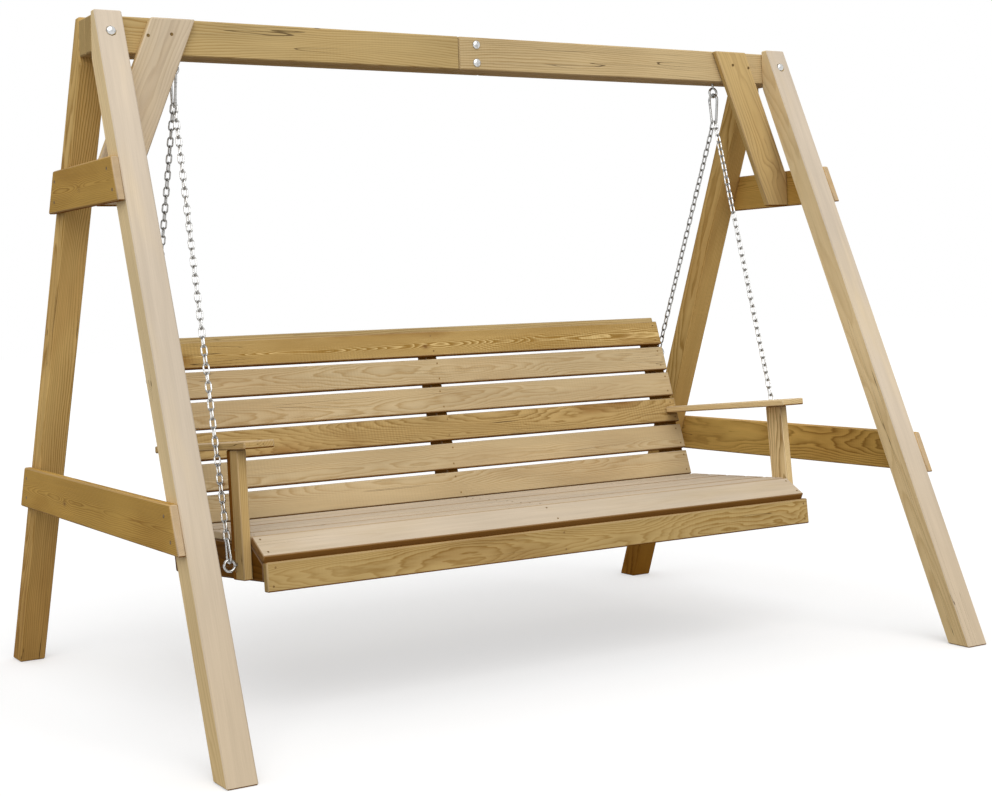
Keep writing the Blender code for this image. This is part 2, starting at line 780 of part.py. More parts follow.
def build_arms(bench):
    """A post outside each seat rail, and an armrest on it that passes outside the upright."""
    post_outline = [
        (post_face, post_foot), (post_face + post_depth, post_foot),
        (post_face + post_depth, armrest_foot - touch), (post_face, armrest_foot - touch),
    ]
    front = post_face - armrest_overhang
    tail = upright_rear(armrest_foot) - armrest_tail_setback
    notch = back_front(armrest_foot) - touch
    inner, wall = armrest_reach - armrest_width, slat_end + touch
    arm_outline = [
        (inner, front), (armrest_reach, front), (armrest_reach, tail),
        (wall, tail), (wall, notch), (inner, notch),
    ]
    for end, side in (("left", -1), ("right", 1)):
        name = end + "_arm_post"
        mesh = board_mesh(name, post_outline, post_thickness, slat_arris)
        post = add_object(name, mesh, timber(name, (0.42, 0.29, 0.13)), bench)
        stand_sideways(post, side * (post_outer - post_thickness / 2))
        drill_eye_hole(post, side, front_eye_reach, front_eye_height, slat_end, post_outer)
        name = end + "_armrest"
        mesh = board_mesh(name, [(x * side, y) for x, y in arm_outline], armrest_thickness, slat_arris)
        arm = add_object(name, mesh, timber(name, (0.50, 0.37, 0.19)), bench)
        arm.location.z = armrest_top - armrest_thickness / 2


def build_bench_eyes(bench):
    """Four eye bolts with their nuts: two through the posts and rails, two through the uprights."""
    nut_face = slat_end - rail_thickness - touch
    places = (
        ("front", hang_reach, front_eye_reach, front_eye_height),
        ("rear", rear_hang_reach, *rear_eye_place()),
    )
    for row, reach, y, z in places:
        shank = reach - eye_radius - nut_face + eye_nut_height + touch
        for end, side in (("left", -1), ("right", 1)):
            name = row + "_" + end + "_bench_eye"
            path = eye_path((side * reach, y, z), (-side, 0, 0), (0, 0, 1), shank)
            eye = add_object(name, wire_mesh(name, path, (0, 1, 0), eye_wire), steel(name), bench)
            nut = bmesh.new()
            back = nut_face - eye_nut_height
            rod(nut, (side * nut_face, y, z), (side * back, y, z), eye_nut_radius, nut_sides)
            combine(eye, mesh_from(name + "_nut", nut), "UNION")


clear_scene()
build_beam()
build_legs()
build_ties()
build_braces()
build_bolts()
build_beam_eyes()
swing_axis = add_empty("swing_axis", (0.0, 0.0, hang_height))
bench_y, bench_z = bench_to_axis(0.0, 0.0)
bench_level = add_empty("bench_level", (0.0, bench_y, bench_z), -bench_tilt, swing_axis)
build_hangings(swing_axis)
build_seat(bench_level)
build_back(bench_level)
build_arms(bench_level)
build_bench_eyes(bench_level)
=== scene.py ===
import math
import random

import bmesh
import bpy
import numpy as np
from mathutils import Matrix, Vector


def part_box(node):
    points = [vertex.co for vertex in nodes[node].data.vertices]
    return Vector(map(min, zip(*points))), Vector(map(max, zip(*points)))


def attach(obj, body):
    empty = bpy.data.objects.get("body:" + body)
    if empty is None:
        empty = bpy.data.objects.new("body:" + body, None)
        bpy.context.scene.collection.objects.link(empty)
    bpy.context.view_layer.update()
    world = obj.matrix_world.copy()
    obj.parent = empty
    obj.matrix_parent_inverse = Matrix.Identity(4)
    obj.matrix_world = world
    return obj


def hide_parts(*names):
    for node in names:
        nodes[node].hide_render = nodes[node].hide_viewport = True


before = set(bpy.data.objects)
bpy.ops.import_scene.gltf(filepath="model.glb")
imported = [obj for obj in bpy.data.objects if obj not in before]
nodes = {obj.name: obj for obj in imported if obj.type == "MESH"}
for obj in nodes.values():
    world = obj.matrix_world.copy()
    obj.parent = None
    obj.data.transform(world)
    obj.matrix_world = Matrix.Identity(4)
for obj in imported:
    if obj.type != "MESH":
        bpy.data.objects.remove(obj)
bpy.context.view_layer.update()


# Beam
# Four planed planks of pressure-treated pine, two side by side, each side in two lengths that butt
# at staggered joints. The leg heads clamp the ends, and two bolts hold the splice in the middle.
def shade(tree, kind, inputs, **settings):
    """Add a shader node, set it up, and feed each input from a value or from another node's output."""
    node = tree.nodes.new("ShaderNode" + kind)
    for name, value in settings.items():
        setattr(node, name, value)
    for name, value in inputs.items():
        if isinstance(value, bpy.types.NodeSocket):
            tree.links.new(value, node.inputs[name])
        else:
            node.inputs[name].default_value = value
    return node


def ramp(tree, feed, stops):
    """A grey ramp through (place, value) stops."""
    node = shade(tree, "ValToRGB", {0: feed})
    elements = node.color_ramp.elements
    for place, value in stops[1:-1]:
        elements.new(place).color = (value, value, value, 1.0)
    for element, (place, value) in ((elements[0], stops[0]), (elements[len(elements) - 1], stops[-1])):
        element.position = place
        element.color = (value, value, value, 1.0)
    return node.outputs["Color"]


def fade(tree, feed, start, end):
    """A smooth step from zero at one value to one at another."""
    step = shade(tree, "MapRange", {0: feed, 1: start, 2: end}, interpolation_type="SMOOTHSTEP")
    return step.outputs[0]


def maths(tree, operation, first, second=0.0, clamp=False):
    """One sum on two values."""
    return shade(tree, "Math", {0: first, 1: second}, operation=operation, use_clamp=clamp).outputs[0]


def total(tree, start, parts):
    """A start value plus each feed times its share."""
    for feed, share in parts:
        start = maths(tree, "ADD", start, maths(tree, "MULTIPLY", feed, share))
    return start


def streaks(tree, place, squash, size, detail):
    """Noise drawn out along the grain, centred on zero."""
    drawn = shade(tree, "VectorMath", {0: place, 1: (1.0, 1.0, squash)}, operation="MULTIPLY")
    noise = shade(tree, "TexNoise", {"Vector": drawn.outputs[0], "Scale": size, "Detail": detail})
    return maths(tree, "SUBTRACT", noise.outputs[0], 0.5)


def blend(tree, share, first, second, kind="MIX"):
    """Two colours mixed by a share."""
    mixed = shade(tree, "Mix", {0: share, 6: first, 7: second}, data_type="RGBA", blend_type=kind)
    return mixed.outputs[2]


# In the values below a streak is its squash along the grain, its size across it and its detail, and
# a span is where a pattern starts and where it is full.
knot_spread, knot_scatter = (9.0, 1.4, 6.0), 0.9
knot_wobble, knot_wobble_size = 0.09, 7.0
knot_span, knot_rim_span, knot_swell_span = (0.060, 0.035), (0.12, 0.05), (0.36, 0.0)


def draw_knots(group, place, share):
    """Scattered knots, drawn out along the grain: each knot, its rim, and the swell round it."""
    spread = shade(group, "VectorMath", {0: place, 1: knot_spread}, operation="MULTIPLY").outputs[0]
    wobble = shade(group, "TexNoise", {"Vector": spread, "Scale": knot_wobble_size, "Detail": 1.0})
    reach = (knot_wobble, knot_wobble, knot_wobble)
    spread = shade(
        group, "VectorMath", {0: wobble.outputs["Color"], 1: reach, 2: spread}, operation="MULTIPLY_ADD",
    ).outputs[0]
    cells = shade(group, "TexVoronoi", {"Vector": spread, "Scale": 1.0, "Randomness": knot_scatter})
    lot = shade(group, "SeparateColor", {0: cells.outputs["Color"]}).outputs[0]
    drawn = maths(group, "LESS_THAN", lot, share)
    return [
        maths(group, "MULTIPLY", fade(group, cells.outputs["Distance"], *span), drawn)
        for span in (knot_span, knot_rim_span, knot_swell_span)
    ]


warp_streak, ring_warp = (0.16, 8.0, 1.0), 0.055
waver_streak, ring_waver = (0.10, 42.0, 2.0), 0.0045
jag_streak, ring_jag = (0.16, 170.0, 1.0), 0.0013
curl_streak, knot_push = (0.24, 30.0, 1.0), 1.7
season_stops = ((0.0, 0.05), (0.25, 0.12), (0.60, 0.45), (0.82, 1.0), (0.90, 0.80), (1.0, 0.05))
bold_streak, bold_span, faintest_rings = (0.3, 7.0, 2.0), (-0.25, 0.15), 0.4


def draw_rings(group, place, given, swell):
    """Growth rings round a pith along Z, strayed from true circles: zero in early wood, one in late."""
    flat = shade(group, "VectorMath", {0: place, 1: (1.0, 1.0, 0.0)}, operation="MULTIPLY").outputs[0]
    radius = shade(group, "VectorMath", {0: flat}, operation="LENGTH").outputs["Value"]
    strays = (
        (warp_streak, ring_warp), (waver_streak, ring_waver), (jag_streak, ring_jag),
        (curl_streak, given["Curl"]),
    )
    bent = total(group, radius, [(streaks(group, place, *streak), reach) for streak, reach in strays])
    rings = total(group, maths(group, "DIVIDE", bent, given["Ring width"]), [(swell, knot_push)])
    season = ramp(group, maths(group, "FRACT", rings), season_stops)
    bold = fade(group, streaks(group, place, *bold_streak), *bold_span)
    bold = total(group, faintest_rings, [(bold, 1.0 - faintest_rings)])
    return maths(group, "MULTIPLY", season, maths(group, "MULTIPLY", bold, given["Figure"]))


check_streak, check_span = (0.022, 48.0, 1.0), (0.0045, 0.0015)
check_patch_streak, check_patch_span = (0.5, 3.4, 1.0), (0.075, 0.12)


def draw_checks(group, place):
    """Drying checks: thin splits along the grain, in a few patches."""
    split = shade(group, "Math", {0: streaks(group, place, *check_streak)}, operation="ABSOLUTE").outputs[0]
    patch = fade(group, streaks(group, place, *check_patch_streak), *check_patch_span)
    return maths(group, "MULTIPLY", fade(group, split, *check_span), patch)


fibre_streak, fibre_tint = (0.018, 620.0, 3.0), 0.16
cloud_streak, cloud_tint = (0.35, 5.0, 2.0), 0.42
shower_streak, shower_tint = (0.05, 70.0, 2.0), 0.22
planed_streak, planed_span, chatter_pitch = (0.3, 9.0, 1.0), (-0.05, 0.15), 0.0095


def draw_tint(group, place, fibre, chatter_share):
    """How much lighter or darker the wood runs: fibres, clouds, showers and the planer's chatter."""
    along = shade(group, "SeparateXYZ", {0: place}).outputs["Z"]
    chatter = maths(group, "SINE", maths(group, "MULTIPLY", along, math.tau / chatter_pitch))
    planed = fade(group, streaks(group, place, *planed_streak), *planed_span)
    return total(group, 1.0, [
        (fibre, fibre_tint), (streaks(group, place, *cloud_streak), cloud_tint),
        (streaks(group, place, *shower_streak), shower_tint),
        (maths(group, "MULTIPLY", chatter, planed), chatter_share),
    ])


pine_inputs = {
    "Vector": ("Place", "Facing", "Along", "Pale side"),
    "Color": ("Early wood", "Late wood", "Pale face", "Foot darkening tint"),
    "Float": (
        "Paleness", "Ring width", "Figure", "Knots", "Curl", "Arris", "Painted shade", "Foot darkening", "Chatter", "Patches",
    ),
}
pine_outputs = {"Color": "Color", "Roughness": "Float", "Height": "Float"}
pale_face, pale_span = (0.56, 0.475, 0.38, 1.0), (0.38, 0.72)
pale_streak, pale_streak_span, least_pale = (0.22, 11.0, 3.0), (-0.30, 0.05), 0.55
end_span, arris_wear_and_highlight = (0.55, 0.9), 0.15
rim_stain, knot_stain = (0.45, (0.24, 0.13, 0.045, 1.0)), (0.75, (0.16, 0.075, 0.022, 1.0))
check_grime_and_shade, end_stain = (0.8, (0.07, 0.04, 0.018, 1.0)), (0.2, (0.24, 0.14, 0.05, 1.0))
# Painted shade and random browned patches multiply the wood by this tint.
shade_and_patch_tint = (0.42, 0.235, 0.06, 1.0)
patch_streak, patch_span = (0.30, 6.0, 3.0), (0.0, 0.14)
planed_rough, late_rough, fibre_rough, end_rough = 0.66, -0.10, 0.25, 0.15
late_rise, fibre_rise, check_rise = 0.35, 0.5, -1.5


def build_pine():
    """Sawn pine as a solid, bleached, browned in patches, lightened on the arrises by wear and a painted
    highlight, with painted shade where the faces carry it, and darker towards the feet.
    """
    group = bpy.data.node_groups.new("solid_pine", "ShaderNodeTree")
    for kind, names in pine_inputs.items():
        for name in names:
            group.interface.new_socket(name, in_out="INPUT", socket_type="NodeSocket" + kind)
    for name, kind in pine_outputs.items():
        group.interface.new_socket(name, in_out="OUTPUT", socket_type="NodeSocket" + kind)
    given = group.nodes.new("NodeGroupInput").outputs
    made = group.nodes.new("NodeGroupOutput").inputs
    place, facing = given["Place"], given["Facing"]

    knot, rim, swell = draw_knots(group, place, given["Knots"])
    season = draw_rings(group, place, given, swell)
    check = draw_checks(group, place)
    fibre = streaks(group, place, *fibre_streak)
    tint = draw_tint(group, place, fibre, given["Chatter"])

    wood = blend(group, season, given["Early wood"], given["Late wood"])
    turned = shade(group, "VectorMath", {0: facing, 1: given["Pale side"]}, operation="DOT_PRODUCT")
    bleached = maths(group, "MULTIPLY", fade(group, turned.outputs["Value"], *pale_span), given["Paleness"])
    patchy = fade(group, streaks(group, place, *pale_streak), *pale_streak_span)
    patchy = total(group, least_pale, [(patchy, 1.0 - least_pale)])
    wood = blend(group, maths(group, "MULTIPLY", bleached, patchy), wood, given["Pale face"])
    wood = shade(group, "VectorMath", {0: wood, "Scale": tint}, operation="SCALE").outputs[0]

    turned = shade(group, "VectorMath", {0: facing, 1: given["Along"]}, operation="DOT_PRODUCT")
    end = shade(group, "Math", {0: turned.outputs["Value"]}, operation="ABSOLUTE").outputs[0]
    end = fade(group, end, *end_span)
    # Checks darken partly with grime and partly as painted shade inside the split.
    stains = ((rim, rim_stain), (knot, knot_stain), (check, check_grime_and_shade), (end, end_stain))
    for share, (depth, brown) in stains:
        wood = blend(group, maths(group, "MULTIPLY", share, depth), wood, brown)
    # Arrises outside the painted shade are lightened towards the pale face: partly wear, partly a painted
    # highlight.
    highlit_arris = maths(group, "SUBTRACT", given["Arris"], given["Painted shade"], clamp=True)
    wood = blend(group, maths(group, "MULTIPLY", highlit_arris, arris_wear_and_highlight), wood, given["Pale face"])

    # Painted shade, from each face's share, and random browned patches darken the wood by the same tint.
    patch = fade(group, streaks(group, place, *patch_streak), *patch_span)
    shade_and_patches = maths(group, "MAXIMUM", given["Painted shade"], maths(group, "MULTIPLY", patch, given["Patches"]))
    wood = blend(group, shade_and_patches, wood, shade_and_patch_tint, "MULTIPLY")
    # Darker towards the feet, by the given share.
    wood = blend(group, given["Foot darkening"], wood, given["Foot darkening tint"], "MULTIPLY")
    group.links.new(wood, made["Color"])

    rough = total(group, planed_rough, [(season, late_rough), (fibre, fibre_rough), (end, end_rough)])
    group.links.new(rough, made["Roughness"])
    height = total(group, 0.0, [(season, late_rise), (fibre, fibre_rise), (check, check_rise)])
    group.links.new(height, made["Height"])
    return group


solid_pine = build_pine()
tone = random.Random(7)
pith_aside, pith_away, straight_shares = 0.035, (0.03, 0.09), (1.6, 0.8)
grain_start, grain_slant = 9.0, 1.1
grain_relief, grain_relief_height, wood_gloss = 0.55, 0.0007, 0.01
# Darker towards the feet: the tint, and the height up to which it reaches.
damp_tint = (0.72, 0.62, 0.42, 1.0)
damp_reach = 0.85


def grain_frame(mesh):
    """A board's middle, and its turn: Z along the grain, X across its face, Y through it."""
    points = np.array([vertex.co for vertex in mesh.vertices])
    spread = np.linalg.eigh(np.cov(points.T))[1]
    along, across = Vector(spread[:, 2]), Vector(spread[:, 1])
    turn = Matrix((across, along.cross(across), along)).transposed()
    local = points @ np.array(turn)
    return turn @ Vector((local.max(0) + local.min(0)) / 2), turn


def pine(name, mesh, early, late, figure=1.0, ring=0.0062, knots=0.12, curl=0.004,
         pale=(0.0, (0, 0, 1)), damp=0.0, soaked=damp_tint, chatter=0.0, patches=0.0, straight=False):
    """One board's own cut of pine: the pith runs beside it, so each face shows its own figure."""
    material = bpy.data.materials.new(name + "_pine")
    material.use_nodes = True
    tree = material.node_tree
    middle, turn = grain_frame(mesh)
    aside = tone.uniform(-pith_aside, pith_aside)
    away = tone.choice((-1, 1)) * tone.uniform(*pith_away)
    start = tone.uniform(-grain_start, grain_start)
    beside = Vector((aside, away, start))
    if straight:
        beside = Vector((away * straight_shares[0], aside * straight_shares[1], start))
    slant = Matrix.Rotation(math.radians(tone.uniform(-grain_slant, grain_slant)), 3, "X")
    turned = turn @ slant
    where = shade(tree, "TexCoord", {})
    place = shade(tree, "Mapping", {
        "Vector": where.outputs["Object"], "Location": middle + turn @ beside,
        "Rotation": turned.to_euler(),
    }, vector_type="TEXTURE")
    edges = shade(tree, "Attribute", {}, attribute_name="arris")
    # Each face's share of painted shade.
    shade_share = shade(tree, "Attribute", {}, attribute_name="painted_shade")
    group = shade(tree, "Group", {}, node_tree=solid_pine)
    values = {
        "Along": turn.col[2], "Pale side": Vector(pale[1]).normalized(), "Paleness": pale[0],
        "Pale face": pale_face, "Early wood": (*early, 1.0), "Late wood": (*late, 1.0), "Ring width": ring,
        "Figure": figure, "Knots": knots, "Curl": curl, "Foot darkening tint": soaked, "Chatter": chatter,
        "Patches": patches,
    }
    for socket, value in values.items():
        group.inputs[socket].default_value = value
    tree.links.new(place.outputs[0], group.inputs["Place"])
    tree.links.new(where.outputs["Normal"], group.inputs["Facing"])
    tree.links.new(edges.outputs["Fac"], group.inputs["Arris"])
    tree.links.new(shade_share.outputs["Fac"], group.inputs["Painted shade"])
    # Darker towards the feet, up to a height.
    if damp:
        height = shade(tree, "SeparateXYZ", {0: where.outputs["Object"]}).outputs["Z"]
        darkened_low = maths(tree, "MULTIPLY", fade(tree, height, damp_reach, 0.0), damp)
        tree.links.new(darkened_low, group.inputs["Foot darkening"])
    relief = shade(tree, "Bump", {
        "Height": group.outputs["Height"], "Strength": grain_relief, "Distance": grain_relief_height,
    })
    shader = tree.nodes["Principled BSDF"]
    tree.links.new(group.outputs["Color"], shader.inputs["Base Color"])
    tree.links.new(group.outputs["Roughness"], shader.inputs["Roughness"])
    tree.links.new(relief.outputs[0], shader.inputs["Normal"])
    shader.inputs["Specular IOR Level"].default_value = wood_gloss
    return material


weld, flat_angle = 0.00001, 1.0
arris_round, arris_steps, arris_widest, shortest_arris = 0.0009, 3, 0.006, 0.008
# Painted shade on faces that turn down and towards the front.
underside_shade = ((0, -0.4, -0.9), 1.0)
shade_turn_start, shade_turn_full = 0.45, 0.85


def planed_board(name, body, early, late, rounding=arris_round, painted_shade=(underside_shade,), seam_shade=0.0,
                 darkened_beyond=None, **finish):
    """Stand a finished board in for its CAD node, its arrises rounded over.

    Faces that turn towards one of the given shade directions take its share of painted shade, a
    browner tone, and the arrises take at least the given seam share, painted shade in the gaps
    between boards. Where a plane through a place along a direction is given, what lies beyond it
    takes the full browner tone of the painted shade too.
    """
    shape = bmesh.new()
    shape.from_mesh(nodes[name].data)
    bmesh.ops.remove_doubles(shape, verts=shape.verts, dist=weld)
    bmesh.ops.dissolve_limit(
        shape, angle_limit=math.radians(flat_angle), use_dissolve_boundaries=False, verts=shape.verts,
        edges=shape.edges,
    )
    long_edges = [edge for edge in shape.edges if edge.calc_length() > shortest_arris]
    bmesh.ops.bevel(
        shape, geom=long_edges, offset=rounding, segments=arris_steps, profile=0.5, affect="EDGES",
        material=-1, clamp_overlap=True,
    )
    if darkened_beyond:
        cut = shape.verts[:] + shape.edges[:] + shape.faces[:]
        bmesh.ops.bisect_plane(shape, geom=cut, dist=weld, plane_co=darkened_beyond[0], plane_no=darkened_beyond[1])
    shape.normal_update()
    arris = shape.faces.layers.float.new("arris")
    shade_share = shape.faces.layers.float.new("painted_shade")
    # Each face's share of painted shade: from its turn towards the given directions, the seam share on
    # arrises, and the full share beyond the given plane.
    for face in shape.faces:
        narrow = 2 * face.calc_area() / face.calc_perimeter() < arris_widest / 2
        face[arris] = 1.0 if narrow else 0.0
        face.smooth = narrow
        face[shade_share] = seam_shade if narrow else 0.0
        for direction, share in painted_shade:
            turned = (face.normal.dot(Vector(direction)) - shade_turn_start) / (shade_turn_full - shade_turn_start)
            face[shade_share] = max(face[shade_share], share * min(max(turned, 0.0), 1.0))
        if darkened_beyond and (face.calc_center_median() - darkened_beyond[0]).dot(darkened_beyond[1]) > 0:
            face[shade_share] = 1.0
    mesh = bpy.data.meshes.new(name + "_board")
    shape.to_mesh(mesh)
    shape.free()
    board = bpy.data.objects.new(name + "_board", mesh)
    bpy.context.scene.collection.objects.link(board)
    mesh.materials.append(pine(name, mesh, early, late, **finish))
    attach(board, body)
    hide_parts(name)
    return board


beam_early = {"left": (0.50, 0.365, 0.165), "right": (0.575, 0.435, 0.235)}
beam_late = (0.31, 0.185, 0.06)
beam_grain = {"figure": 0.85, "ring": 0.0046, "knots": 0.05, "chatter": 0.02, "straight": True}
# Painted shade: the planks' undersides take part of the browner tone.
beam_painted_shade = (((0, 0, -1), 0.4),)
for row in ("front", "rear"):
    for end in ("left", "right"):
        plank = row + "_plank_" + end
        planed_board(plank, "frame", beam_early[end], beam_late, painted_shade=beam_painted_shade, **beam_grain)


# Legs
# Four square pine posts, splayed front and back. Their heads are cut to clamp the beam, their outer
# faces have bleached paler than the sides, and the wood darkens towards the feet, which on the rear
# legs is painted shade cast by the seat.
# The legs' side colour is partly the wood's own and partly painted light, set lighter for the light that
# falls on their sides from the left.
leg_early, leg_late = (0.77, 0.60, 0.345), (0.55, 0.385, 0.18)
front_leg_grain = {"figure": 0.5, "ring": 0.0048, "knots": 0.06, "damp": 0.4}
rear_leg_early = {"left": (0.66, 0.44, 0.165), "right": (0.61, 0.40, 0.145)}
rear_leg_late = (0.36, 0.20, 0.05)
rear_leg_grain = {"figure": 1.1, "ring": 0.0044, "knots": 0.10, "patches": 0.2}
# On the rear legs the darkening towards the feet is painted shade cast by the seat.
rear_leg_damp = {"left": 0.55, "right": 1.0}
soaked_leg = (0.50, 0.34, 0.13, 1.0)
leg_pale_share = 0.92
leg_rounding = 0.0015
for end in ("left", "right"):
    planed_board(
        "front_" + end + "_leg", "frame", leg_early, leg_late, rounding=leg_rounding,
        pale=(leg_pale_share, (0, -1, 0.4)), **front_leg_grain,
    )
for end in ("left", "right"):
    planed_board(
        "rear_" + end + "_leg", "frame", rear_leg_early[end], rear_leg_late, rounding=leg_rounding,
        painted_shade=(), pale=(leg_pale_share, (0, 1, 0.4)), damp=rear_leg_damp[end], soaked=soaked_leg,
        **rear_leg_grain,
    )


# Bolts
# Domed zinc-plated bolts: a long one through each pair of leg heads, sunk in spot-faced seats, and
# two short ones through the splice. Each has a washer and a hexagon nut at the back.
bolt_head_radius, bolt_head_rise, dome_angles = 0.012, 0.005, (75, 60, 45, 30, 15, 0)
bolt_shank_radius, bolt_tail = 0.005, 0.003
washer_radius, washer_height = 0.0125, 0.002
nut_radius, nut_height, nut_edge = 0.0095, 0.008, 0.0009
thread_pitch, thread_depth = 0.0015, 0.0005
bolt_finish = {"shine": 0.16, "bright": 0.62}
cloud_size, grit_size, grit_relief, grit_height = 160.0, 1900.0, 0.25, 0.0002
dull_span, dull_rough, dulling = (0.52, 0.68), 0.18, 0.6
joint_dirt_and_shade, joint_dirt_and_shade_share = (0.12, 0.11, 0.095, 1.0), 0.6


def zinc(name, shine=0.24, bright=0.46, hue=(1.0, 1.0, 0.98)):
    """Zinc plate: a pale grey metal, a little clouded, with duller spots, and darker where links bear: partly
    dirt, partly painted shade between the links.
    """
    material = bpy.data.materials.new(name + "_zinc")
    material.use_nodes = True
    tree = material.node_tree
    where = shade(tree, "TexCoord", {}).outputs["Object"]
    cloud = shade(tree, "TexNoise", {"Vector": where, "Scale": cloud_size, "Detail": 3.0}).outputs[0]
    grit = shade(tree, "TexNoise", {"Vector": where, "Scale": grit_size, "Detail": 2.0}).outputs[0]
    dull = fade(tree, cloud, *dull_span)
    shader = tree.nodes["Principled BSDF"]
    clean = [channel * bright for channel in hue]
    plate = blend(tree, dull, (*clean, 1.0), (*(channel * dulling for channel in clean), 1.0))
    # Faces at the link bends are darkened: partly dirt, partly painted shade between the links.
    joint = shade(tree, "Attribute", {}, attribute_name="joint").outputs["Fac"]
    plate = blend(tree, maths(tree, "MULTIPLY", joint, joint_dirt_and_shade_share), plate, joint_dirt_and_shade)
    tree.links.new(plate, shader.inputs["Base Color"])
    tree.links.new(total(tree, shine, [(dull, dull_rough)]), shader.inputs["Roughness"])
    relief = shade(tree, "Bump", {"Height": grit, "Strength": grit_relief, "Distance": grit_height})
    tree.links.new(relief.outputs[0], shader.inputs["Normal"])
    shader.inputs["Metallic"].default_value = 1.0
    return material


def add_steel(name, body, shape, slot="zinc_steel", sharp=40, **finish):
    """Close a bmesh into a steel piece that rides on a body."""
    bmesh.ops.remove_doubles(shape, verts=shape.verts, dist=weld)
    bmesh.ops.recalc_face_normals(shape, faces=shape.faces)
    mesh = bpy.data.meshes.new(name)
    shape.to_mesh(mesh)
    shape.free()
    mesh.shade_smooth()
    mesh.set_sharp_from_angle(angle=math.radians(sharp))
    mesh.materials.append(zinc(name, **finish))
    piece = bpy.data.objects.new(name, mesh)
    bpy.context.scene.collection.objects.link(piece)
    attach(piece, body)
    return piece


def turn_profile(shape, profile, place, axis, steps=32):
    """Spin (along, out) points round an axis into a closed turned shape."""
    turn = Matrix.Translation(place) @ Vector(axis).to_track_quat("X", "Z").to_matrix().to_4x4()
    points = [shape.verts.new(turn @ Vector((along, 0.0, out))) for along, out in profile]
    edges = [shape.edges.new(pair) for pair in zip(points, points[1:])]
    bmesh.ops.spin(
        shape, geom=points + edges, cent=place, axis=axis, dvec=(0.0, 0.0, 0.0),
        angle=math.tau, steps=steps, use_merge=True, use_duplicate=False,
    )
    bmesh.ops.remove_doubles(shape, verts=shape.verts, dist=weld)


def add_nut(shape, place, axis, radius, height, edge):
    """A hexagon nut, its corners chamfered, from a face out along an axis."""
    turn = Vector(axis).to_track_quat("Z", "Y").to_matrix().to_4x4()
    middle = Matrix.Translation(Vector(place) + Vector(axis) * height / 2)
    nut = bmesh.ops.create_cone(
        shape, cap_ends=True, segments=6, radius1=radius, radius2=radius, depth=height,
        matrix=middle @ turn,
    )
    edges = list({link for vertex in nut["verts"] for link in vertex.link_edges})
    bmesh.ops.bevel(shape, geom=edges, offset=edge, segments=2, profile=0.5, affect="EDGES", material=-1)


for name in ("left_leg_bolt", "right_leg_bolt", "upper_splice_bolt", "lower_splice_bolt"):
    low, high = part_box(name)
    place = Vector(((low.x + high.x) / 2, low.y, (low.z + high.z) / 2))
    tail = high.y - low.y
    washer = tail - bolt_tail - nut_height - washer_height
    # A leg bolt's head sits as deep in front as its washer does behind, and fills its seat.
    skirt = washer - 2 * (washer + low.y) if name.endswith("leg_bolt") else bolt_head_rise
    skirt = max(skirt, bolt_head_rise) + weld
    profile = [(0.0, 0.0)]
    for angle in dome_angles:
        rise, out = math.sin(math.radians(angle)), math.cos(math.radians(angle))
        profile.append((bolt_head_rise * (1 - rise), bolt_head_radius * out))
    profile += [
        (skirt, bolt_head_radius), (skirt, bolt_shank_radius),
        (washer, bolt_shank_radius), (washer, washer_radius), (washer + washer_height, washer_radius),
        (washer + washer_height, bolt_shank_radius), (tail - thread_pitch / 2, bolt_shank_radius),
        (tail, bolt_shank_radius - thread_depth), (tail, 0.0),
    ]
    shape = bmesh.new()
    turn_profile(shape, profile, place, (0, 1, 0))
    back = place + Vector((0, washer + washer_height, 0))
    add_nut(shape, back, (0, 1, 0), nut_radius, nut_height, nut_edge)
    bolt = add_steel(name + "_dressed", "frame", shape, **bolt_finish)
    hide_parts(name)


# Ties and braces
# Boards screwed across the outer faces of the legs, two at each end, and two slanting boards from
# the front of the beam to the upper ties.
# The right ties' colour is lighter than the left's partly as painted light, making up for the shade that
# falls on them.
tie_early = {"left": (0.53, 0.325, 0.085), "right": (0.65, 0.405, 0.11)}
tie_late = (0.30, 0.155, 0.032)
tie_grain = {"figure": 0.95, "ring": 0.0034, "knots": 0.14, "curl": 0.006, "chatter": 0.02, "patches": 0.2}
tie_paleness = 0.55
brace_early = {"left": (0.70, 0.535, 0.30), "right": (0.60, 0.415, 0.165)}
brace_late = (0.38, 0.235, 0.08)
brace_grain = {"knots": 0.22, "ring": 0.0055, "curl": 0.009}
brace_paleness = {"left": 0.65, "right": 0.1}
front = (0, -1, 0)
for level in ("lower", "upper"):
    for end in ("left", "right"):
        tie = level + "_" + end + "_tie"
        planed_board(tie, "frame", tie_early[end], tie_late, pale=(tie_paleness, front), **tie_grain)
for end in ("left", "right"):
    planed_board(
        end + "_brace", "frame", brace_early[end], brace_late, pale=(brace_paleness[end], front),
        **brace_grain,
    )


# Frame screws
# Star-drive screws, sunk flush: two at each tie and leg, two at each brace's head. Only their heads
# show, dark brown as painted shade of the countersunk holes round them.
screw_radius, screw_taper_share, screw_rise, screw_depth = 0.0044, 0.8, 0.0004, 0.0012
star_share, star_notch_share, star_depth = 0.5, 0.7, 0.00025
# The brown hue and the frame screws' low brightness paint the shade in the countersunk holes.
screw_shine, frame_screw_shade_bright, screw_shade_hue = 0.5, 0.16, (1.0, 0.62, 0.24)
tie_screw_rise, tie_screw_shift = 0.026, 0.008
brace_screw_spots = ((0.062, 0.040), (0.122, 0.046))


